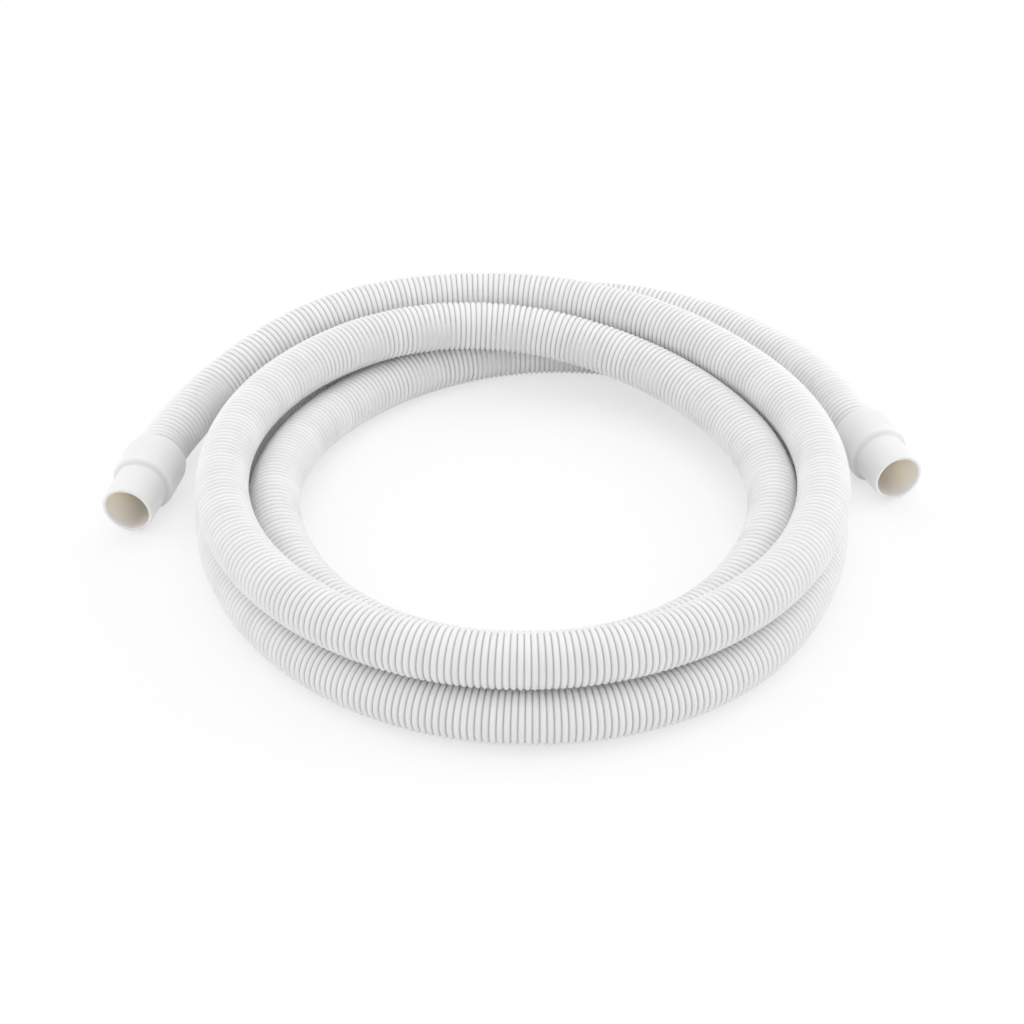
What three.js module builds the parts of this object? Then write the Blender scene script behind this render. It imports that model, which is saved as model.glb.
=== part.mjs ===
import * as THREE from 'three';
import { mergeVertices } from 'three/addons/utils/BufferGeometryUtils.js';

// Flexible corrugated drain hose, coiled as it is sold, with a moulded cuff on each end.
// Millimetres, +Z up, the coil lies on z = 0, X to the right, Y to the back.

// Hose
const HOSE_DIAMETER = 24;
const HOSE_WALL = 0.8;
const RIB_PITCH = 2.72;
const RIB_DEPTH = 1.2;
const RIB_CREST_LENGTH = 1.25;
const RIB_ROOT_LENGTH = 0.65;
const RIBS_IN_SOCKET = 6;
const RIBS_BEYOND_CUFF = 9;
const HOSE_SIDES = 12;
const OUTER_STEP = 16;
const BORE_STEP = 30;

// Coil: the top turn is a circle, the other turns lie beside and under it
const COIL_RADIUS = 135.5;
const ROUTE_STEP_DEGREES = 10;
const STRAIGHT_BEYOND_LIP = 10;

// Cuffs
const NOZZLE_DIAMETER = 24;
const NOZZLE_WALL = 1.6;
const NOZZLE_TAPER = 0.25;
const NOZZLE_LENGTH = 18.5;
const RIM_ROUND = 0.7;
const SHOULDER_LENGTH = 2.6;
const SLEEVE_WALL = 2.25;
const LIP_LENGTH = 4.6;
const LIP_THICKNESS = 0.7;
const SOCKET_FLOOR = 3.8;
const SOCKET_CLEARANCE = 0.3;
const CUFF_SIDES = 24;

// Where each cuff lies: angle travelled from the left side of the coil to the cuff's lip, distance of
// the lip outside the top turn in hose diameters, heading of the mouth from the front, nose-down tilt
const LEFT_CUFF = { lipAngle: 13, lipOffset: 1.7125, heading: -13, tilt: 3 };
const RIGHT_CUFF = { lipAngle: 1238.8, lipOffset: 1.594, heading: 19, tilt: 0 };

// The hose's way through the coil, clockwise from above. Each row holds the angle travelled from the
// left side in degrees, then how far the centre line lies outside the top turn and how high it lies,
// both in hose diameters, so that turns that touch still touch when the hose gets thicker.
const COIL_STATIONS = [
  // Off the left cuff and up over the turn that lies on the floor behind
  [28, 1.66, 0.84],
  [42, 1.42, 1.22],
  [54, 1.24, 1.47],
  [68, 1.03, 1.55],
  [90, 0.73, 1.555],
  [115, 0.35, 1.545],
  [140, 0.06, 1.525],
  // Top turn
  [180, 0, 1.52],
  [225, 0, 1.51],
  [270, 0, 1.49],
  [315, 0, 1.52],
  [360, 0, 1.52],
  [400, 0, 1.52],
  // Down on the inner side of the next turn, behind
  [425, -0.1, 1.525],
  [450, -0.4, 1.42],
  [475, -0.67, 1.2],
  [500, -0.85, 1.05],
  // Inner turn, nestled between the top turn and the lower one at both sides
  [520, -0.895, 1],
  [540, -0.89, 0.96],
  [560, -0.93, 0.86],
  [585, -1.03, 0.64],
  [607, -1.17, 0.53],
  [630, -1.27, 0.5],
  [652, -1.19, 0.52],
  [675, -1.07, 0.6],
  [700, -1, 0.74],
  [720, -0.91, 0.82],
  // Outwards under the turns above, behind
  [740, -0.8, 0.72],
  [765, -0.5, 0.55],
  [790, -0.09, 0.5],
  [815, 0.32, 0.5],
  [840, 0.57, 0.5],
  [860, 0.47, 0.5],
  // Lower turn, on the floor
  [880, 0.2, 0.5],
  [900, 0.05, 0.5],
  [925, 0.05, 0.5],
  [950, 0.23, 0.5],
  [970, 0.28, 0.5],
  [990, 0.27, 0.5],
  [1012, 0.18, 0.5],
  [1035, 0.06, 0.5],
  [1058, 0, 0.5],
  [1080, 0.1, 0.5],
  // Outwards on the floor to the right cuff
  [1105, 0.4, 0.5],
  [1122, 0.64, 0.5],
  [1140, 1.06, 0.5],
  [1158, 1.74, 0.5],
  [1178, 2.34, 0.5],
  [1192, 2.46, 0.5],
  [1207, 2.34, 0.5],
  [1226, 1.88, 0.56],
];

const WHITE_PVC = { color: 0xe9e8e6, roughness: 0.42, metalness: 0 };
const CUFF_PVC = { color: 0xf1f0ee, roughness: 0.36, metalness: 0 };

const hoseRadius = HOSE_DIAMETER / 2;
const ribRootRadius = hoseRadius - RIB_DEPTH;
const boreRadius = ribRootRadius - HOSE_WALL;
const ribSlopeLength = (RIB_PITCH - RIB_CREST_LENGTH - RIB_ROOT_LENGTH) / 2;
const hoseInsertion = RIBS_IN_SOCKET * RIB_PITCH;
const facetAllowance = 1 / Math.cos(Math.PI / CUFF_SIDES);
const socketRadius = (hoseRadius + SOCKET_CLEARANCE) * facetAllowance;
const sleeveRadius = socketRadius + SLEEVE_WALL;
const nozzleRadius = NOZZLE_DIAMETER / 2;
const shoulderPlace = NOZZLE_LENGTH + SHOULDER_LENGTH;
const cuffLength = shoulderPlace + SOCKET_FLOOR + SOCKET_CLEARANCE + hoseInsertion;
const lipStart = cuffLength - LIP_LENGTH;
const up = new THREE.Vector3(0, 0, 1);

// Value of one column of the stations at an angle, on a smooth curve through all of them
function stationValue(column, angle) {
  const last = COIL_STATIONS.length - 1;
  let i = 0;
  while (i < last - 1 && COIL_STATIONS[i + 1][0] < angle) i += 1;
  const slope = (k) => {
    const before = COIL_STATIONS[Math.max(k - 1, 0)];
    const after = COIL_STATIONS[Math.min(k + 1, last)];
    return (after[column] - before[column]) / (after[0] - before[0]);
  };
  const [start, end] = [COIL_STATIONS[i], COIL_STATIONS[i + 1]];
  const span = end[0] - start[0];
  const t = (angle - start[0]) / span;
  const rise = 3 * t * t - 2 * t * t * t;
  const startBend = span * slope(i) * (t - 2 * t * t + t * t * t);
  const endBend = span * slope(i + 1) * (t * t * t - t * t);
  return start[column] * (1 - rise) + end[column] * rise + startBend + endBend;
}

// Point at an angle travelled clockwise from the coil's left side
function coilPoint(angle, radius, height) {
  const turned = THREE.MathUtils.degToRad(180 - angle);
  return new THREE.Vector3(radius * Math.cos(turned), radius * Math.sin(turned), height);
}

// A cuff's axis from its mouth into the hose, its lip and its mouth. The front edge of the sleeve
// rests on the floor.
function cuffPlace({ lipAngle, lipOffset, heading, tilt }) {
  const turn = new THREE.Euler(THREE.MathUtils.degToRad(tilt), 0, THREE.MathUtils.degToRad(heading), 'ZXY');
  const axis = new THREE.Vector3(0, 1, 0).applyEuler(turn);
  const restHeight = sleeveRadius * Math.cos(turn.x) + (cuffLength - shoulderPlace) * Math.sin(turn.x);
  const lip = coilPoint(lipAngle, COIL_RADIUS + HOSE_DIAMETER * lipOffset, restHeight);
  const mouth = lip.clone().addScaledVector(axis, -cuffLength);
  return { turn, axis, lip, mouth };
}

// The centre line of the whole hose, from its end in the left cuff to its end in the right one
function hoseRoute(left, right) {
  const socketDistances = [-hoseInsertion, -hoseInsertion / 2, 0, STRAIGHT_BEYOND_LIP];
  const startRun = socketDistances.map((d) => left.lip.clone().addScaledVector(left.axis, d));
  const endRun = socketDistances.map((d) => right.lip.clone().addScaledVector(right.axis, d)).reverse();
  const turns = [];
  const firstAngle = COIL_STATIONS[0][0];
  const lastAngle = COIL_STATIONS[COIL_STATIONS.length - 1][0];
  const count = Math.round((lastAngle - firstAngle) / ROUTE_STEP_DEGREES);
  for (let i = 0; i <= count; i += 1) {
    const angle = firstAngle + ((lastAngle - firstAngle) * i) / count;
    const radius = COIL_RADIUS + HOSE_DIAMETER * stationValue(1, angle);
    const height = Math.max(HOSE_DIAMETER * stationValue(2, angle), hoseRadius);
    turns.push(coilPoint(angle, radius, height));
  }
  const route = new THREE.CatmullRomCurve3([...startRun, ...turns, ...endRun], false, 'centripetal');
  route.arcLengthDivisions = 4000;
  return route;
}

// Distances and radii of the hose's outside: ribs at both ends, its envelope between them
function outsideSections(length) {
  const ribCount = RIBS_IN_SOCKET + RIBS_BEYOND_CUFF;
  const ribs = [{ at: 0, radius: ribRootRadius }];
  for (let i = 0; i < ribCount; i += 1) {
    const start = i * RIB_PITCH;
    ribs.push({ at: start + RIB_ROOT_LENGTH / 2, radius: ribRootRadius });
    ribs.push({ at: start + RIB_ROOT_LENGTH / 2 + ribSlopeLength, radius: hoseRadius });
    ribs.push({ at: start + RIB_PITCH - RIB_ROOT_LENGTH / 2 - ribSlopeLength, radius: hoseRadius });
    ribs.push({ at: start + RIB_PITCH - RIB_ROOT_LENGTH / 2, radius: ribRootRadius });
  }
  const plainStart = ribCount * RIB_PITCH + ribSlopeLength;
  const plainLength = length - 2 * plainStart;
  const steps = Math.ceil(plainLength / OUTER_STEP);
  const plain = [];
  for (let i = 0; i <= steps; i += 1) {
    plain.push({ at: plainStart + (plainLength * i) / steps, radius: hoseRadius });
  }
  const mirrored = ribs.map(({ at, radius }) => ({ at: length - at, radius })).reverse();
  return [...ribs, ...plain, ...mirrored];
}

// Distances and radii of the hose's bore
function boreSections(length) {
  const steps = Math.ceil(length / BORE_STEP);
  return Array.from({ length: steps + 1 }, (_, i) => ({ at: (length * i) / steps, radius: boreRadius }));
}

// A closed tube along a route: an outer and an inner skin of rings, joined by a flat ring at each end
function sweptTube(route, outside, bore) {
  const length = route.getLength();
  const positions = [];
  const triangles = [];
  const addRings = (sections) => sections.map(({ at, radius }) => {
    const share = Math.min(at / length, 1);
    const centre = route.getPointAt(share);
    const forward = route.getTangentAt(share);
    const side = new THREE.Vector3().crossVectors(forward, up).normalize();
    const top = new THREE.Vector3().crossVectors(side, forward);
    const firstVertex = positions.length / 3;
    for (let i = 0; i < HOSE_SIDES; i += 1) {
      const angle = (2 * Math.PI * i) / HOSE_SIDES - Math.PI / 2;
      const point = centre.clone()
        .addScaledVector(side, radius * Math.cos(angle))
        .addScaledVector(top, radius * Math.sin(angle));
      positions.push(point.x, point.y, point.z);
    }
    return firstVertex;
  });
  const bridge = (from, to) => {
    for (let i = 0; i < HOSE_SIDES; i += 1) {
      const next = (i + 1) % HOSE_SIDES;
      triangles.push(from + i, to + next, to + i, from + i, from + next, to + next);
    }
  };
  const outerRings = addRings(outside);
  const innerRings = addRings(bore);
  outerRings.slice(1).forEach((ring, i) => bridge(ring, outerRings[i]));
  innerRings.slice(1).forEach((ring, i) => bridge(innerRings[i], ring));
  bridge(outerRings[0], innerRings[0]);
  bridge(innerRings[innerRings.length - 1], outerRings[outerRings.length - 1]);
  const geometry = new THREE.BufferGeometry();
  geometry.setAttribute('position', new THREE.Float32BufferAttribute(positions, 3));
  geometry.setIndex(triangles);
  geometry.computeVertexNormals();
  return geometry;
}

// A cuff's section, as radius and distance from the mouth: outside first, then back along the inside,
// where rings reach into the valleys between the hose's ribs and hold it
function cuffProfile() {
  const ringRadius = (ribRootRadius + SOCKET_CLEARANCE) * facetAllowance;
  const socketFloor = shoulderPlace + SOCKET_FLOOR;
  const mouthRadius = nozzleRadius - NOZZLE_WALL;
  const points = [];
  const add = (radius, distance) => points.push(new THREE.Vector2(radius, distance));

  // Mouth with a rounded rim
  add(mouthRadius + RIM_ROUND * 0.3, 0);
  add(nozzleRadius - RIM_ROUND, 0);
  add(nozzleRadius - RIM_ROUND * 0.3, RIM_ROUND * 0.3);
  add(nozzleRadius, RIM_ROUND);

  // Nozzle, hollow fillet, rounded front edge of the sleeve
  const baseRadius = nozzleRadius + NOZZLE_TAPER;
  const stepHeight = sleeveRadius - baseRadius;
  add(baseRadius, NOZZLE_LENGTH);
  for (const share of [0.15, 0.5, 0.85, 1]) {
    const height = stepHeight * (1 - Math.cos(Math.PI * share)) / 2;
    add(baseRadius + height, NOZZLE_LENGTH + SHOULDER_LENGTH * share);
  }

  // Sleeve and the rounded lip over the hose
  const lipTop = socketRadius + LIP_THICKNESS;
  for (const degrees of [0, 30, 60, 90]) {
    const angle = THREE.MathUtils.degToRad(degrees);
    add(lipTop + (sleeveRadius - lipTop) * Math.cos(angle), lipStart + LIP_LENGTH * Math.sin(angle));
  }
  add(socketRadius, cuffLength);

  // Rings of the socket, one in each valley of the hose
  const ringBase = RIB_PITCH - RIB_CREST_LENGTH - 2 * SOCKET_CLEARANCE;
  const ringTip = RIB_ROOT_LENGTH - SOCKET_CLEARANCE;
  for (let i = 1; i < RIBS_IN_SOCKET; i += 1) {
    const middle = cuffLength - i * RIB_PITCH;
    add(socketRadius, middle + ringBase / 2);
    add(ringRadius, middle + ringTip / 2);
    add(ringRadius, middle - ringTip / 2);
    add(socketRadius, middle - ringBase / 2);
  }

  // Floor of the socket and the nozzle's bore
  add(socketRadius, socketFloor);
  add(boreRadius, socketFloor);
  add(mouthRadius, NOZZLE_LENGTH / 2);
  add(mouthRadius, RIM_ROUND * 0.3);
  points.push(points[0].clone());
  return points;
}

function turned(profile, sides) {
  const geometry = new THREE.LatheGeometry(profile, sides);
  geometry.deleteAttribute('normal');
  geometry.deleteAttribute('uv');
  const closed = mergeVertices(geometry, 1e-4);
  closed.computeVertexNormals();
  return closed;
}

function named(name, geometry, finish) {
  const mesh = new THREE.Mesh(geometry, new THREE.MeshStandardMaterial(finish));
  mesh.name = name;
  return mesh;
}

function cuff(name, place) {
  const mesh = named(name, turned(cuffProfile(), CUFF_SIDES), CUFF_PVC);
  mesh.position.copy(place.mouth);
  mesh.rotation.copy(place.turn);
  return mesh;
}

function hose(left, right) {
  const route = hoseRoute(left, right);
  const length = route.getLength();
  return named('hose', sweptTube(route, outsideSections(length), boreSections(length)), WHITE_PVC);
}

const leftPlace = cuffPlace(LEFT_CUFF);
const rightPlace = cuffPlace(RIGHT_CUFF);
const part = new THREE.Group();
part.add(hose(leftPlace, rightPlace), cuff('cuff_left', leftPlace), cuff('cuff_right', rightPlace));

// The frame's origin is on the floor under the middle of the whole part
const middle = new THREE.Box3().setFromObject(part, true).getCenter(new THREE.Vector3());
part.position.set(-middle.x, -middle.y, 0);
part.updateMatrixWorld(true);

export default part;
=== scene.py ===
"""Looks of a flexible PVC hose: a white corrugated drain hose, coiled, with a moulded cuff on each end.

Everything is in metres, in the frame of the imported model: Z up, the coil on the floor at z = 0.
"""

import logging
import math
from dataclasses import dataclass
from enum import Enum

import bpy
import numpy as np
from mathutils import Euler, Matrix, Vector


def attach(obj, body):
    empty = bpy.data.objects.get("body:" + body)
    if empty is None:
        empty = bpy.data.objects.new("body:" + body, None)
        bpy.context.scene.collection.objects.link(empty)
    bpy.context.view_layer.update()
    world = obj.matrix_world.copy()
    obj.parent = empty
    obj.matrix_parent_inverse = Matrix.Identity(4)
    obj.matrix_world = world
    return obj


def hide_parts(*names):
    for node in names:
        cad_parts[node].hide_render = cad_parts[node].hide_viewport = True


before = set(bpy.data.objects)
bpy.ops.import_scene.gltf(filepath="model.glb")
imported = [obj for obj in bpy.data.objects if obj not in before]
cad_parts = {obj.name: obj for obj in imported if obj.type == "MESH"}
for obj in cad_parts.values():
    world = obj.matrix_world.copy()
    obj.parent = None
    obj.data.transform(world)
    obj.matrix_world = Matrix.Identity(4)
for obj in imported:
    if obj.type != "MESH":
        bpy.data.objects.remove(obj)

LOG = logging.getLogger("flexible_hose")
UP = np.array([0.0, 0.0, 1.0])
CLOUD_RANGE = (0.3, 0.7)
CLOUD_DETAIL = 4.0
GRAIN_DETAIL = 2.0
GRAIN_STRENGTH = 0.5
PVC_IOR = 1.53
PVC_SPECULAR = 0.5
# How much painted shade the ribs' shoulders, the cuffs' lip and their socket take.
RIB_SHOULDER_RECESS = 0.06
LIP_RECESS = 0.3
SOCKET_RECESS = 0.6
MIDDLE_TONE = 0.5
MERGE_DISTANCE = 0.000002
SHARP_EDGE_DEGREES = 50.0


class CuffSide(Enum):
    """The two cuffs, by the name of the node that each stands for."""

    LEFT = "cuff_left"
    RIGHT = "cuff_right"


class MaterialSlot(Enum):
    """The record's material slots."""

    HOSE = "hose"
    CUFF = "cuff"


@dataclass(frozen=True)
class HoseSizes:
    """Sizes of the corrugated tube."""

    diameter: float = 0.024
    wall: float = 0.0008
    rib_pitch: float = 0.00272
    rib_depth: float = 0.0012
    groove_width: float = 0.0012
    crest_crown: float = 0.00042
    ribs_in_socket: int = 6
    sides: int = 22
    bore_step: float = 0.04
    path_points: int = 1200
    seed: int = 11

    @property
    def radius(self) -> float:
        """Radius over the ribs' crests."""
        return self.diameter / 2

    @property
    def root_radius(self) -> float:
        """Radius at the bottom of the grooves."""
        return self.radius - self.rib_depth

    @property
    def bore_radius(self) -> float:
        """Radius of the smooth inside."""
        return self.root_radius - self.wall

    @property
    def insertion(self) -> float:
        """Length of hose inside each cuff."""
        return self.ribs_in_socket * self.rib_pitch


@dataclass(frozen=True)
class CuffSizes:
    """Sizes of a moulded cuff: nozzle in front, sleeve with the hose's socket behind."""

    nozzle_radius: float = 0.012
    nozzle_wall: float = 0.0016
    nozzle_taper: float = 0.00025
    nozzle_length: float = 0.0185
    rim_round: float = 0.0007
    shoulder_length: float = 0.0026
    shoulder_hollow: float = 0.3
    hose_radius: float = 0.012
    solid_sides: int = 24
    socket_floor: float = 0.0038
    socket_clearance: float = 0.0003
    ring_base: float = 0.0008
    ring_tip: float = 0.0002
    sleeve_wall: float = 0.00225
    lip_length: float = 0.0046
    lip_thickness: float = 0.0007
    lip_edge: float = 0.0001
    sides: int = 96

    @property
    def socket_radius(self) -> float:
        """Inside radius of the socket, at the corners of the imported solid's facets."""
        return (self.hose_radius + self.socket_clearance) / math.cos(math.pi / self.solid_sides)

    @property
    def sleeve_radius(self) -> float:
        """Outside radius of the sleeve."""
        return self.socket_radius + self.sleeve_wall

    @property
    def shoulder_place(self) -> float:
        """Distance of the sleeve's front edge from the mouth."""
        return self.nozzle_length + self.shoulder_length

    def length(self, insertion: float) -> float:
        """Whole length of the cuff.

        Args:
            insertion: length of hose inside the socket.

        Returns:
            The distance from the mouth to the lip.
        """
        return self.shoulder_place + self.socket_floor + self.socket_clearance + insertion


@dataclass(frozen=True)
class CuffPlacing:
    """Where a cuff lies: its lip round the coil, and the way its mouth faces."""

    lip_angle: float
    lip_offset: float
    heading: float
    tilt: float


CUFF_PLACINGS = {
    CuffSide.LEFT: CuffPlacing(lip_angle=13.0, lip_offset=1.7125, heading=-13.0, tilt=3.0),
    CuffSide.RIGHT: CuffPlacing(lip_angle=1238.8, lip_offset=1.594, heading=19.0, tilt=0.0),
}


@dataclass(frozen=True)
class CoilSizes:
    """The coil: the top turn is a circle, and the other turns lie beside and under it.

    Each station holds the angle travelled clockwise from the left side in degrees, then how far the
    centre line lies outside the top turn and how high it lies, both in hose diameters.
    """

    top_turn_radius: float = 0.1355
    centre: tuple[float, float] = (0.0031517, -0.0238649)
    step_degrees: float = 10.0
    straight_beyond_lip: float = 0.010
    samples_per_step: int = 48
    stations: tuple[tuple[float, float, float], ...] = (
        (28, 1.66, 0.84),
        (42, 1.42, 1.22),
        (54, 1.24, 1.47),
        (68, 1.03, 1.55),
        (90, 0.73, 1.555),
        (115, 0.35, 1.545),
        (140, 0.06, 1.525),
        (180, 0, 1.52),
        (225, 0, 1.51),
        (270, 0, 1.49),
        (315, 0, 1.52),
        (360, 0, 1.52),
        (400, 0, 1.52),
        (425, -0.1, 1.525),
        (450, -0.4, 1.42),
        (475, -0.67, 1.2),
        (500, -0.85, 1.05),
        (520, -0.895, 1),
        (540, -0.89, 0.96),
        (560, -0.93, 0.86),
        (585, -1.03, 0.64),
        (607, -1.17, 0.53),
        (630, -1.27, 0.5),
        (652, -1.19, 0.52),
        (675, -1.07, 0.6),
        (700, -1, 0.74),
        (720, -0.91, 0.82),
        (740, -0.8, 0.72),
        (765, -0.5, 0.55),
        (790, -0.09, 0.5),
        (815, 0.32, 0.5),
        (840, 0.57, 0.5),
        (860, 0.47, 0.5),
        (880, 0.2, 0.5),
        (900, 0.05, 0.5),
        (925, 0.05, 0.5),
        (950, 0.23, 0.5),
        (970, 0.28, 0.5),
        (990, 0.27, 0.5),
        (1012, 0.18, 0.5),
        (1035, 0.06, 0.5),
        (1058, 0, 0.5),
        (1080, 0.1, 0.5),
        (1105, 0.4, 0.5),
        (1122, 0.64, 0.5),
        (1140, 1.06, 0.5),
        (1158, 1.74, 0.5),
        (1178, 2.34, 0.5),
        (1192, 2.46, 0.5),
        (1207, 2.34, 0.5),
        (1226, 1.88, 0.56),
    )


@dataclass(frozen=True)
class MouldedPvc:
    """Soft white PVC: satin, a little mottled, with painted shade in its recesses."""

    name: str
    colour: tuple[float, float, float]
    # Colour of the painted shade in recesses.
    painted_shade_colour: tuple[float, float, float]
    mottle: float
    mottle_scale: float
    roughness: tuple[float, float]
    grain_scale: float
    grain_height: float
    recess_attribute: str
    recess_depth: float
    tone_attribute: str
    tone_spread: float
    subsurface: tuple[float, float]
    subsurface_scale: float
    subsurface_tint: tuple[float, float, float]

    def material(self) -> bpy.types.Material:
        """Builds the finish as nodes.

        Returns:
            A material that reads Object coordinates and the piece's own recess and tone attributes.
        """
        made = bpy.data.materials.new(self.name)
        made.use_nodes = True
        nodes, links = made.node_tree.nodes, made.node_tree.links
        shader = nodes["Principled BSDF"]
        shader.inputs["IOR"].default_value = PVC_IOR
        shader.inputs["Specular IOR Level"].default_value = PVC_SPECULAR
        shader.inputs["Subsurface Scale"].default_value = self.subsurface_scale
        shader.inputs["Subsurface Radius"].default_value = self.subsurface_tint
        place = nodes.new("ShaderNodeTexCoord")

        clouds = nodes.new("ShaderNodeTexNoise")
        clouds.inputs["Scale"].default_value = self.mottle_scale
        clouds.inputs["Detail"].default_value = CLOUD_DETAIL
        links.new(place.outputs["Object"], clouds.inputs["Vector"])
        tone = nodes.new("ShaderNodeAttribute")
        tone.attribute_name = self.tone_attribute
        cloud_tone = nodes.new("ShaderNodeMapRange")
        cloud_tone.inputs["From Min"].default_value = CLOUD_RANGE[0]
        cloud_tone.inputs["From Max"].default_value = CLOUD_RANGE[1]
        cloud_tone.inputs["To Min"].default_value = 1.0 - self.mottle
        cloud_tone.inputs["To Max"].default_value = 1.0
        links.new(clouds.outputs["Fac"], cloud_tone.inputs["Value"])
        # Tone: at random from rib to rib on the hose, painted shade in the shoulder's hollow on the cuffs.
        rib_tone = nodes.new("ShaderNodeMapRange")
        rib_tone.inputs["To Min"].default_value = 1.0 - self.tone_spread
        rib_tone.inputs["To Max"].default_value = 1.0
        links.new(tone.outputs["Fac"], rib_tone.inputs["Value"])
        both = nodes.new("ShaderNodeMath")
        both.operation = "MULTIPLY"
        links.new(cloud_tone.outputs["Result"], both.inputs[0])
        links.new(rib_tone.outputs["Result"], both.inputs[1])

        # Painted shade: the recess attribute mixes the colour towards the painted shade colour, darkest at
        # the bottom of the hose's grooves and warm inside the cuffs' bore and socket.
        recess = nodes.new("ShaderNodeAttribute")
        recess.attribute_name = self.recess_attribute
        deepest = nodes.new("ShaderNodeMath")
        deepest.operation = "POWER"
        deepest.inputs[1].default_value = self.recess_depth
        links.new(recess.outputs["Fac"], deepest.inputs[0])
        shaded = nodes.new("ShaderNodeMix")
        shaded.data_type = "RGBA"
        shaded.inputs["A"].default_value = (*self.colour, 1.0)
        shaded.inputs["B"].default_value = (*self.painted_shade_colour, 1.0)
        links.new(deepest.outputs["Value"], shaded.inputs["Factor"])
        toned = nodes.new("ShaderNodeMix")
        toned.data_type = "RGBA"
        toned.blend_type = "MULTIPLY"
        toned.inputs["Factor"].default_value = 1.0
        links.new(shaded.outputs["Result"], toned.inputs["A"])
        links.new(both.outputs["Value"], toned.inputs["B"])
        links.new(toned.outputs["Result"], shader.inputs["Base Color"])

        glow_through = nodes.new("ShaderNodeMapRange")
        glow_through.inputs["To Min"].default_value = self.subsurface[0]
        glow_through.inputs["To Max"].default_value = self.subsurface[1]
        links.new(recess.outputs["Fac"], glow_through.inputs["Value"])
        links.new(glow_through.outputs["Result"], shader.inputs["Subsurface Weight"])

        gloss = nodes.new("ShaderNodeMapRange")
        gloss.inputs["From Min"].default_value = CLOUD_RANGE[0]
        gloss.inputs["From Max"].default_value = CLOUD_RANGE[1]
        gloss.inputs["To Min"].default_value = self.roughness[0]
        gloss.inputs["To Max"].default_value = self.roughness[1]
        links.new(clouds.outputs["Fac"], gloss.inputs["Value"])
        links.new(gloss.outputs["Result"], shader.inputs["Roughness"])

        grain = nodes.new("ShaderNodeTexNoise")
        grain.inputs["Scale"].default_value = self.grain_scale
        grain.inputs["Detail"].default_value = GRAIN_DETAIL
        links.new(place.outputs["Object"], grain.inputs["Vector"])
        bump = nodes.new("ShaderNodeBump")
        bump.inputs["Strength"].default_value = GRAIN_STRENGTH
        bump.inputs["Distance"].default_value = self.grain_height
        links.new(grain.outputs["Fac"], bump.inputs["Height"])
        links.new(bump.outputs["Normal"], shader.inputs["Normal"])
        return made


HOSE_PVC = MouldedPvc(
    name="white_pvc_corrugated",
    colour=(0.94, 0.935, 0.935),
    # Painted shade in the grooves between the ribs.
    painted_shade_colour=(0.53, 0.527, 0.525),
    mottle=0.02,
    mottle_scale=70.0,
    roughness=(0.38, 0.52),
    grain_scale=1600.0,
    grain_height=0.00002,
    recess_attribute="recess",
    recess_depth=1.6,
    tone_attribute="tone",
    tone_spread=0.05,
    subsurface=(0.35, 0.35),
    subsurface_scale=0.0015,
    subsurface_tint=(1.0, 0.97, 0.93),
)
CUFF_PVC = MouldedPvc(
    name="white_pvc_moulded",
    colour=(0.9, 0.895, 0.892),
    # Painted warm shade inside the cuffs' mouth, socket and lip.
    painted_shade_colour=(0.96, 0.86, 0.76),
    mottle=0.015,
    mottle_scale=90.0,
    roughness=(0.3, 0.42),
    grain_scale=1100.0,
    grain_height=0.00003,
    recess_attribute="recess",
    recess_depth=1.0,
    tone_attribute="tone",
    # On the cuffs the tone spread sets the painted shade in the shoulder's hollow.
    tone_spread=0.13,
    subsurface=(0.3, 1.0),
    subsurface_scale=0.006,
    subsurface_tint=(1.0, 0.9, 0.78),
)


def deselect_all() -> None:
    """Leaves object mode with nothing selected."""
    if bpy.context.object is not None and bpy.context.object.mode != "OBJECT":
        bpy.ops.object.mode_set(mode="OBJECT")
    bpy.ops.object.select_all(action="DESELECT")


def set_point_attribute(piece: bpy.types.Object, name: str, values: np.ndarray) -> None:
    """Stores one number a vertex, for the finish to read.

    Args:
        piece: the mesh object.
        name: the attribute's name.
        values: one value a vertex.
    """
    attribute = piece.data.attributes.new(name, "FLOAT", "POINT")
    attribute.data.foreach_set("value", np.asarray(values, np.float32))


def dress(piece: bpy.types.Object, material: bpy.types.Material) -> None:
    """Gives a piece its finish and the body that it rides on.

    Args:
        piece: the finished mesh object.
        material: its material.
    """
    piece.data.materials.clear()
    piece.data.materials.append(material)
    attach(piece, "root")


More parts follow.
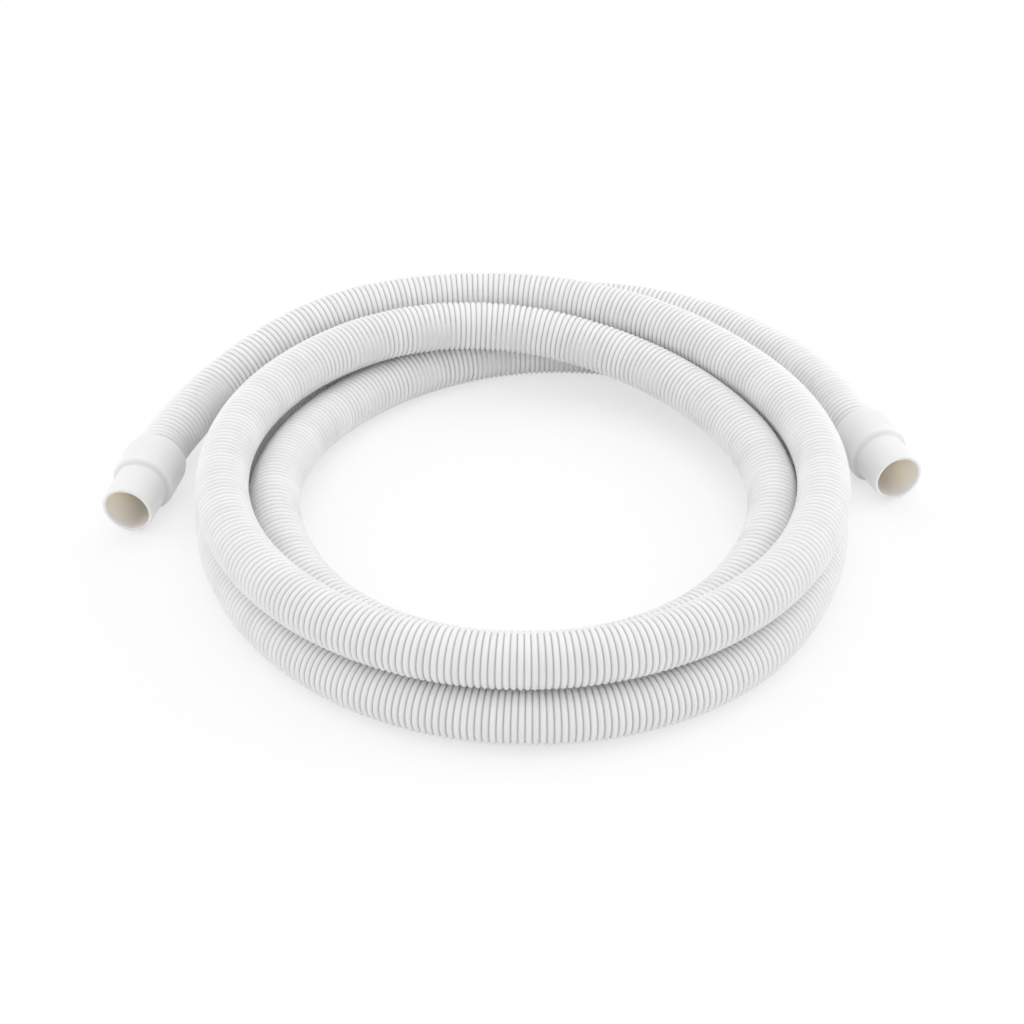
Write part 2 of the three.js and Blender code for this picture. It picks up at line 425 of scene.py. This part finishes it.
class HoseRoute:
    """The hose's centre line, from its end in the left cuff to its end in the right one."""

    def __init__(self, coil: CoilSizes, hose: HoseSizes, cuff: CuffSizes) -> None:
        """Lays the line through the coil.

        Args:
            coil: sizes of the coil.
            hose: sizes of the hose.
            cuff: sizes of the cuffs.
        """
        self.coil = coil
        self.hose = hose
        self.cuff = cuff
        points, tangents = self._smooth_line(self._control_points())
        steps = np.linalg.norm(np.diff(points, axis=0), axis=1)
        self._distances = np.concatenate([[0.0], np.cumsum(steps)])
        self._points = points
        self._tangents = tangents
        self.length = float(self._distances[-1])

    def _station_value(self, column: int, angle: float) -> float:
        """Value of one column of the stations, on a smooth curve through all of them.

        Args:
            column: 1 for the distance outside the top turn, 2 for the height.
            angle: angle travelled from the coil's left side, in degrees.

        Returns:
            The value at that angle, in hose diameters.
        """
        rows = self.coil.stations
        last = len(rows) - 1
        index = 0
        while index < last - 1 and rows[index + 1][0] < angle:
            index += 1

        def slope(k: int) -> float:
            """Slope of the column at one station.

            Args:
                k: number of the station.

            Returns:
                The slope, in hose diameters a degree.
            """
            before, after = rows[max(k - 1, 0)], rows[min(k + 1, last)]
            return (after[column] - before[column]) / (after[0] - before[0])

        start, end = rows[index], rows[index + 1]
        span = end[0] - start[0]
        t = (angle - start[0]) / span
        rise = 3 * t**2 - 2 * t**3
        start_bend = span * slope(index) * (t - 2 * t**2 + t**3)
        end_bend = span * slope(index + 1) * (t**3 - t**2)
        return start[column] * (1 - rise) + end[column] * rise + start_bend + end_bend

    def _coil_point(self, angle: float, radius: float, height: float) -> np.ndarray:
        """Point at an angle travelled clockwise from the coil's left side.

        Args:
            angle: angle travelled, in degrees.
            radius: distance from the coil's middle.
            height: height over the floor.

        Returns:
            The point.
        """
        turned = math.radians(180.0 - angle)
        centre_x, centre_y = self.coil.centre
        x = centre_x + radius * math.cos(turned)
        y = centre_y + radius * math.sin(turned)
        return np.array([x, y, height])

    def cuff_axis(self, side: CuffSide) -> tuple[np.ndarray, np.ndarray, np.ndarray]:
        """Where a cuff lies.

        Args:
            side: which cuff.

        Returns:
            The middle of its mouth, the middle of its lip, and the unit axis from mouth to lip.
        """
        placing = CUFF_PLACINGS[side]
        tilt = math.radians(placing.tilt)
        turn = Euler((tilt, 0.0, math.radians(placing.heading)), "XYZ")
        axis = np.array(turn.to_matrix() @ Vector((0.0, 1.0, 0.0)))
        length = self.cuff.length(self.hose.insertion)
        behind_edge = length - self.cuff.shoulder_place
        height = self.cuff.sleeve_radius * math.cos(tilt) + behind_edge * math.sin(tilt)
        radius = self.coil.top_turn_radius + self.hose.diameter * placing.lip_offset
        lip = self._coil_point(placing.lip_angle, radius, height)
        return lip - axis * length, lip, axis

    def _control_points(self) -> np.ndarray:
        """The points that the line passes: straight in each cuff, and along the stations between.

        Returns:
            The points, one a row.
        """
        inside = self.hose.insertion
        offsets = (-inside, -inside / 2, 0.0, self.coil.straight_beyond_lip)
        _, left_lip, left_axis = self.cuff_axis(CuffSide.LEFT)
        _, right_lip, right_axis = self.cuff_axis(CuffSide.RIGHT)
        first, last = self.coil.stations[0][0], self.coil.stations[-1][0]
        count = round((last - first) / self.coil.step_degrees)
        turns = []
        for i in range(count + 1):
            angle = first + (last - first) * i / count
            radius = self.coil.top_turn_radius + self.hose.diameter * self._station_value(1, angle)
            height = max(self.hose.diameter * self._station_value(2, angle), self.hose.radius)
            turns.append(self._coil_point(angle, radius, height))
        start_run = [left_lip + left_axis * offset for offset in offsets]
        end_run = [right_lip + right_axis * offset for offset in reversed(offsets)]
        return np.array([*start_run, *turns, *end_run])

    def _smooth_line(self, points: np.ndarray) -> tuple[np.ndarray, np.ndarray]:
        """A centripetal Catmull-Rom curve through the points.

        Args:
            points: the points that the curve passes.

        Returns:
            Close samples of the curve, and the unit tangent at each.
        """
        padded = np.vstack([2 * points[0] - points[1], points, 2 * points[-1] - points[-2]])
        t = np.linspace(0.0, 1.0, self.coil.samples_per_step, endpoint=False)[:, None]
        places, slopes = [], []
        for before, start, end, after in zip(padded, padded[1:], padded[2:], padded[3:]):
            gap_in, gap, gap_out = (
                math.sqrt(np.linalg.norm(b - a)) for a, b in ((before, start), (start, end), (end, after))
            )
            leave = (start - before) / gap_in - (end - before) / (gap_in + gap) + (end - start) / gap
            arrive = (end - start) / gap - (after - start) / (gap + gap_out) + (after - end) / gap_out
            leave, arrive = leave * gap, arrive * gap
            square = 3 * (end - start) - 2 * leave - arrive
            cube = 2 * (start - end) + leave + arrive
            places.append(start + leave * t + square * t**2 + cube * t**3)
            slopes.append(leave + 2 * square * t + 3 * cube * t**2)
        places.append(points[-1:])
        slopes.append(points[-1:] - points[-2:-1])
        tangents = np.vstack(slopes)
        return np.vstack(places), tangents / np.linalg.norm(tangents, axis=1)[:, None]

    def at(self, distances: np.ndarray) -> tuple[np.ndarray, np.ndarray]:
        """Points and unit tangents of the line.

        Args:
            distances: distances along the line from its start.

        Returns:
            The points and the tangents, one row each a distance.
        """
        points, tangents = (
            np.stack([np.interp(distances, self._distances, column) for column in rows.T], axis=1)
            for rows in (self._points, self._tangents)
        )
        return points, tangents / np.linalg.norm(tangents, axis=1)[:, None]


class CorrugatedHose:
    """The hose itself: every rib of the outside, and the smooth bore."""

    def __init__(self, sizes: HoseSizes, route: HoseRoute) -> None:
        """Keeps the sizes and the line that the hose follows.

        Args:
            sizes: sizes of the tube.
            route: its centre line.
        """
        self.sizes = sizes
        self.route = route

    def _rib_sections(self) -> tuple[np.ndarray, np.ndarray, np.ndarray, np.ndarray]:
        """Section of the outside, with groove, shoulder, crest and shoulder in each rib.

        Returns:
            The distances along the line, the radii, the recess and the tone, one value a ring.
        """
        sizes = self.sizes
        count = round(self.route.length / sizes.rib_pitch)
        pitch = self.route.length / count
        half_groove = sizes.groove_width / 2
        starts = np.arange(count)[:, None] * pitch
        offsets = np.array([[0.0, half_groove, pitch / 2, pitch - half_groove]])
        shoulder = sizes.radius - sizes.crest_crown
        chance = np.random.default_rng(sizes.seed)
        distances = np.append((starts + offsets).ravel(), self.route.length)
        rib_radii = [sizes.root_radius, shoulder, sizes.radius, shoulder]
        # The painted shade fills each groove and touches its shoulders.
        rib_recess = [1.0, RIB_SHOULDER_RECESS, 0.0, RIB_SHOULDER_RECESS]
        radii = np.append(np.tile(rib_radii, count), sizes.root_radius)
        recess = np.append(np.tile(rib_recess, count), 1.0)
        tone = np.append(np.repeat(chance.random(count), len(rib_radii)), MIDDLE_TONE)
        return distances, radii, recess, tone

    def _rings(self, distances: np.ndarray, radii: np.ndarray) -> np.ndarray:
        """Rings of points round the line, the first of each at the bottom.

        Args:
            distances: where each ring lies along the line.
            radii: radius of each ring.

        Returns:
            The points of all the rings, one a row.
        """
        centres, forward = self.route.at(distances)
        side = np.cross(forward, UP)
        side /= np.linalg.norm(side, axis=1)[:, None]
        top = np.cross(side, forward)
        angles = 2 * np.pi * np.arange(self.sizes.sides) / self.sizes.sides - np.pi / 2
        across = np.cos(angles)[None, :, None] * side[:, None, :]
        upward = np.sin(angles)[None, :, None] * top[:, None, :]
        return (centres[:, None, :] + radii[:, None, None] * (across + upward)).reshape(-1, 3)

    def _bridge(self, from_ring: int, to_ring: int) -> list[tuple[int, int, int, int]]:
        """Faces between two rings.

        Args:
            from_ring: number of the first ring.
            to_ring: number of the second ring.

        Returns:
            Four vertex numbers a face.
        """
        sides = self.sizes.sides
        a, b = from_ring * sides, to_ring * sides
        return [(a + i, a + (i + 1) % sides, b + (i + 1) % sides, b + i) for i in range(sides)]

    def build(self) -> bpy.types.Object:
        """Makes the tube as one closed mesh.

        Returns:
            The hose's object, with its recess and tone attributes.
        """
        distances, radii, recess, tone = self._rib_sections()
        bore_count = math.ceil(self.route.length / self.sizes.bore_step) + 1
        bore_distances = np.linspace(0.0, self.route.length, bore_count)
        bore_radii = np.full(bore_count, self.sizes.bore_radius)
        points = np.vstack([self._rings(distances, radii), self._rings(bore_distances, bore_radii)])
        outer, inner = len(distances), bore_count
        faces = []
        for ring in range(outer - 1):
            faces += self._bridge(ring + 1, ring)
        for ring in range(outer, outer + inner - 1):
            faces += self._bridge(ring, ring + 1)
        faces += self._bridge(0, outer)
        faces += self._bridge(outer + inner - 1, outer - 1)
        mesh = bpy.data.meshes.new("corrugated_hose")
        mesh.from_pydata(points.tolist(), [], faces)
        mesh.shade_smooth()
        piece = bpy.data.objects.new("corrugated_hose", mesh)
        bpy.context.scene.collection.objects.link(piece)
        sides = self.sizes.sides
        set_point_attribute(piece, "recess", np.repeat(np.append(recess, np.zeros(inner)), sides))
        set_point_attribute(piece, "tone", np.repeat(np.append(tone, np.full(inner, MIDDLE_TONE)), sides))
        LOG.info("corrugated_hose: %d ribs, %.3f m long", (outer - 1) // 4, self.route.length)
        return piece

    def declare(self) -> None:
        """Samples the centre line and finds the left cuff's lip, but does nothing with them.
        """
        path, _ = self.route.at(np.linspace(0.0, self.route.length, self.sizes.path_points))
        _, left_lip, _ = self.route.cuff_axis(CuffSide.LEFT)


@dataclass(frozen=True)
class CuffRing:
    """One ring of a cuff's section: where it lies, how deep in a recess, and how light its tone is under the
    painted shade of the shoulder's hollow.
    """

    radius: float
    distance: float
    recess: float = 0.0
    tone: float = 1.0


class MouldedCuff:
    """One moulded cuff: nozzle, hollow shoulder, sleeve with a rounded lip, socket and bore."""

    def __init__(self, sizes: CuffSizes, hose: HoseSizes, route: HoseRoute, side: CuffSide) -> None:
        """Keeps the sizes and the side.

        Args:
            sizes: sizes of the cuff.
            hose: sizes of the hose in its socket.
            route: the line that says where the cuff lies.
            side: which cuff it is.
        """
        self.sizes = sizes
        self.hose = hose
        self.route = route
        self.side = side

    def _section(self) -> list[CuffRing]:
        """Draws the cuff's section.

        Returns:
            The rings, along the outside first and then back along the inside.
        """
        sizes, hose = self.sizes, self.hose
        length = sizes.length(hose.insertion)
        mouth_radius = sizes.nozzle_radius - sizes.nozzle_wall
        rings: list[CuffRing] = []

        rim = sizes.rim_round
        inner_round = rim * 0.5
        for degrees in (60, 30, 0):
            angle = math.radians(degrees)
            inward = inner_round * (1 - math.sin(angle))
            rings.append(CuffRing(mouth_radius + inward, inner_round * (1 - math.cos(angle))))
        for degrees in (0, 18, 36, 54, 72, 90):
            angle = math.radians(degrees)
            outward = rim * (1 - math.sin(angle))
            rings.append(CuffRing(sizes.nozzle_radius - outward, rim * (1 - math.cos(angle))))

        base = sizes.nozzle_radius + sizes.nozzle_taper
        step = sizes.sleeve_radius - base
        for share in (0.25, 0.5, 0.75, 0.95):
            radius = sizes.nozzle_radius + sizes.nozzle_taper * share
            rings.append(CuffRing(radius, rim + (sizes.nozzle_length - rim) * share))
        for share in (0.0, 0.08, 0.18, 0.3, 0.42, 0.54, 0.66, 0.78, 0.88, 0.95, 1.0):
            height = step * (1 - math.cos(math.pi * share)) / 2
            # Painted shade: the tone falls to its lowest in the hollow of the shoulder.
            from_hollow = (share - sizes.shoulder_hollow) / sizes.shoulder_hollow
            tone = 1.0 - math.exp(-(from_hollow**2))
            distance = sizes.nozzle_length + sizes.shoulder_length * share
            rings.append(CuffRing(base + height, distance, tone=tone))

        lip_start = length - sizes.lip_length
        lip_top = sizes.socket_radius + sizes.lip_thickness
        sleeve_start = sizes.shoulder_place
        for share in (0.25, 0.5, 0.75):
            rings.append(CuffRing(sizes.sleeve_radius, sleeve_start + (lip_start - sleeve_start) * share))
        for degrees in range(0, 91, 10):
            angle = math.radians(degrees)
            radius = lip_top + (sizes.sleeve_radius - lip_top) * math.cos(angle)
            rings.append(CuffRing(radius, lip_start + sizes.lip_length * math.sin(angle)))
        rings.append(CuffRing(sizes.socket_radius + sizes.lip_edge, length, recess=LIP_RECESS))
        rings.append(CuffRing(sizes.socket_radius, length - sizes.lip_edge, recess=SOCKET_RECESS))

        ring_radius = hose.root_radius + sizes.socket_clearance
        for i in range(1, hose.ribs_in_socket):
            middle = length - i * hose.rib_pitch
            for radius, offset in (
                (sizes.socket_radius, sizes.ring_base / 2),
                (ring_radius, sizes.ring_tip / 2),
                (ring_radius, -sizes.ring_tip / 2),
                (sizes.socket_radius, -sizes.ring_base / 2),
            ):
                rings.append(CuffRing(radius, middle + offset, recess=SOCKET_RECESS))

        # The socket floor and the bore take the deepest painted warm shade and the most subsurface light,
        # less towards the mouth.
        floor = sizes.shoulder_place + sizes.socket_floor
        rings.append(CuffRing(sizes.socket_radius, floor, recess=1.0))
        rings.append(CuffRing(hose.bore_radius, floor, recess=1.0))
        rings.append(CuffRing(mouth_radius, sizes.nozzle_length / 2, recess=1.0))
        for distance, recess in ((0.006, 0.9), (0.003, 0.7), (0.0015, 0.4)):
            rings.append(CuffRing(mouth_radius, distance, recess=recess))
        return rings

    def build(self) -> bpy.types.Object:
        """Draws the section out ring by ring from a circle, closes it, and lays it in its place.

        Returns:
            The cuff's object, with its recess and tone attributes.
        """
        section = self._section()
        deselect_all()
        last = section[0]
        bpy.ops.mesh.primitive_circle_add(
            vertices=self.sizes.sides,
            radius=last.radius,
            fill_type="NOTHING",
            location=(0.0, 0.0, last.distance),
        )
        piece = bpy.context.object
        piece.name = f"moulded_{self.side.value}"
        piece.data.name = piece.name
        bpy.ops.object.transform_apply(location=True, rotation=True, scale=True)
        bpy.ops.object.mode_set(mode="EDIT")
        bpy.ops.mesh.select_all(action="SELECT")
        for ring in [*section[1:], section[0]]:
            bpy.ops.mesh.extrude_region_move(
                TRANSFORM_OT_translate={"value": (0.0, 0.0, ring.distance - last.distance)}
            )
            grow = ring.radius / last.radius
            bpy.ops.transform.resize(value=(grow, grow, 1.0), center_override=(0.0, 0.0, ring.distance))
            last = ring
        bpy.ops.mesh.select_all(action="SELECT")
        bpy.ops.mesh.remove_doubles(threshold=MERGE_DISTANCE)
        bpy.ops.mesh.normals_make_consistent(inside=False)
        bpy.ops.object.mode_set(mode="OBJECT")
        self._store_attributes(piece, section)
        mouth, _, axis = self.route.cuff_axis(self.side)
        piece.rotation_mode = "QUATERNION"
        piece.rotation_quaternion = Vector(axis).to_track_quat("Z", "Y")
        piece.location = mouth
        bpy.ops.object.transform_apply(location=True, rotation=True, scale=True)
        bpy.ops.object.shade_smooth_by_angle(angle=math.radians(SHARP_EDGE_DEGREES))
        LOG.info("%s: %d rings of %d sides", piece.name, len(section), self.sizes.sides)
        return piece

    def _store_attributes(self, piece: bpy.types.Object, section: list[CuffRing]) -> None:
        """Gives each vertex the recess and the tone of its ring.

        Args:
            piece: the cuff, still upright at the origin.
            section: the rings that it was drawn from.
        """
        count = len(piece.data.vertices)
        points = np.zeros(count * 3)
        piece.data.vertices.foreach_get("co", points)
        points = points.reshape(-1, 3)
        rings = np.array([(ring.radius, ring.distance, ring.recess, ring.tone) for ring in section])
        radii = np.hypot(points[:, 0], points[:, 1])
        nearest = np.argmin(
            (radii[:, None] - rings[None, :, 0]) ** 2 + (points[:, 2, None] - rings[None, :, 1]) ** 2, axis=1
        )
        set_point_attribute(piece, "recess", rings[nearest, 2])
        set_point_attribute(piece, "tone", rings[nearest, 3])


@dataclass(frozen=True)
class SoftBox:
    """A large square lamp that faces the middle of the floor."""

    name: str
    place: tuple[float, float, float]
    size: float
    power: float


@dataclass(frozen=True)
class Studio:
    """Camera at the photograph's viewing angle, white floor and plain soft light."""

    camera_place: tuple[float, float, float] = (-0.0018, -0.84490, 0.60221)
    camera_down_degrees: float = 35.7
    lens: float = 77.45
    sensor_width: float = 36.0
    clip: tuple[float, float] = (0.01, 50.0)
    floor_size: float = 8.0
    floor_seen: float = 1.0
    floor_bounce: float = 0.94
    floor_glow: float = 0.62
    world_strength: float = 0.79
    softboxes: tuple[SoftBox, ...] = (
        SoftBox(name="softbox_overhead", place=(0.0, 0.15, 1.7), size=1.6, power=5.0),
        SoftBox(name="softbox_left", place=(-1.5, 0.3, 0.7), size=1.2, power=4.0),
        SoftBox(name="softbox_right", place=(1.5, 0.3, 0.7), size=1.2, power=5.5),
    )

    def add_camera(self) -> None:
        """Puts the camera in place."""
        down = math.radians(90.0 - self.camera_down_degrees)
        bpy.ops.object.camera_add(location=self.camera_place, rotation=(down, 0.0, 0.0))
        camera = bpy.context.object
        camera.data.lens = self.lens
        camera.data.sensor_width = self.sensor_width
        camera.data.clip_start, camera.data.clip_end = self.clip
        bpy.context.scene.camera = camera

    def _seen_directly(self, tree: bpy.types.NodeTree) -> bpy.types.NodeSocket:
        """Finds out what the camera sees, directly, in a reflection or through something clear.

        Args:
            tree: the nodes to add to.

        Returns:
            A socket that is 1 for what is seen, and 0 for what only gives light.
        """
        path = tree.nodes.new("ShaderNodeLightPath")
        glossy = tree.nodes.new("ShaderNodeMath")
        glossy.operation = "MAXIMUM"
        tree.links.new(path.outputs["Is Camera Ray"], glossy.inputs[0])
        tree.links.new(path.outputs["Is Glossy Ray"], glossy.inputs[1])
        clear = tree.nodes.new("ShaderNodeMath")
        clear.operation = "MAXIMUM"
        tree.links.new(glossy.outputs["Value"], clear.inputs[0])
        tree.links.new(path.outputs["Is Transmission Ray"], clear.inputs[1])
        return clear.outputs["Value"]

    def add_floor(self) -> None:
        """Lays the white floor, which keeps the hose's shadow."""
        deselect_all()
        bpy.ops.mesh.primitive_plane_add(size=self.floor_size)
        floor = bpy.context.object
        floor.name = "studio_floor"
        finish = bpy.data.materials.new("studio_floor_white")
        finish.use_nodes = True
        tree = finish.node_tree
        shader = tree.nodes["Principled BSDF"]
        shader.inputs["Roughness"].default_value = 1.0
        shader.inputs["Specular IOR Level"].default_value = 0.0
        white = tree.nodes.new("ShaderNodeMix")
        white.data_type = "RGBA"
        white.inputs["A"].default_value = (*[self.floor_bounce] * 3, 1.0)
        white.inputs["B"].default_value = (*[self.floor_seen] * 3, 1.0)
        seen = self._seen_directly(tree)
        tree.links.new(seen, white.inputs["Factor"])
        tree.links.new(white.outputs["Result"], shader.inputs["Base Color"])
        glow = tree.nodes.new("ShaderNodeEmission")
        share = tree.nodes.new("ShaderNodeMath")
        share.operation = "MULTIPLY"
        share.inputs[1].default_value = self.floor_glow
        mixed = tree.nodes.new("ShaderNodeMixShader")
        tree.links.new(seen, share.inputs[0])
        tree.links.new(share.outputs["Value"], mixed.inputs["Fac"])
        tree.links.new(shader.outputs["BSDF"], mixed.inputs[1])
        tree.links.new(glow.outputs["Emission"], mixed.inputs[2])
        tree.links.new(mixed.outputs["Shader"], tree.nodes["Material Output"].inputs["Surface"])
        floor.data.materials.append(finish)

    def add_light(self) -> None:
        """Adds an even white surround, and large soft lamps above and at both sides."""
        world = bpy.data.worlds.new("studio_surround")
        bpy.context.scene.world = world
        world.use_nodes = True
        tree = world.node_tree
        surround = tree.nodes["Background"]
        surround.inputs["Color"].default_value = (1.0, 1.0, 1.0, 1.0)
        surround.inputs["Strength"].default_value = self.world_strength
        backdrop = tree.nodes.new("ShaderNodeBackground")
        backdrop.inputs["Color"].default_value = (1.0, 1.0, 1.0, 1.0)
        backdrop.inputs["Strength"].default_value = 1.0
        mixed = tree.nodes.new("ShaderNodeMixShader")
        tree.links.new(self._seen_directly(tree), mixed.inputs["Fac"])
        tree.links.new(surround.outputs["Background"], mixed.inputs[1])
        tree.links.new(backdrop.outputs["Background"], mixed.inputs[2])
        tree.links.new(mixed.outputs["Shader"], tree.nodes["World Output"].inputs["Surface"])
        for box in self.softboxes:
            bpy.ops.object.light_add(type="AREA", location=box.place)
            lamp = bpy.context.object
            lamp.name = box.name
            lamp.data.shape = "SQUARE"
            lamp.data.size = box.size
            lamp.data.energy = box.power
            lamp.rotation_mode = "QUATERNION"
            lamp.rotation_quaternion = Vector(box.place).to_track_quat("Z", "Y")


def main() -> None:
    """Builds the scene: camera, hose, cuffs, floor and light."""
    logging.basicConfig(level=logging.INFO, format="%(name)s: %(message)s")
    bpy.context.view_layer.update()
    deselect_all()
    bpy.context.scene.view_settings.view_transform = "Standard"
    studio = Studio()
    studio.add_camera()

    hose_sizes, cuff_sizes = HoseSizes(), CuffSizes()
    route = HoseRoute(CoilSizes(), hose_sizes, cuff_sizes)
    hose = CorrugatedHose(hose_sizes, route)
    hose_piece = hose.build()
    dress(hose_piece, HOSE_PVC.material())
    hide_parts("hose")

    cuff_material = CUFF_PVC.material()
    for side in CuffSide:
        piece = MouldedCuff(cuff_sizes, hose_sizes, route, side).build()
        dress(piece, cuff_material)
        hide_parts(side.value)
    hose.declare()

    studio.add_floor()
    studio.add_light()


if __name__ == "__main__":
    main()
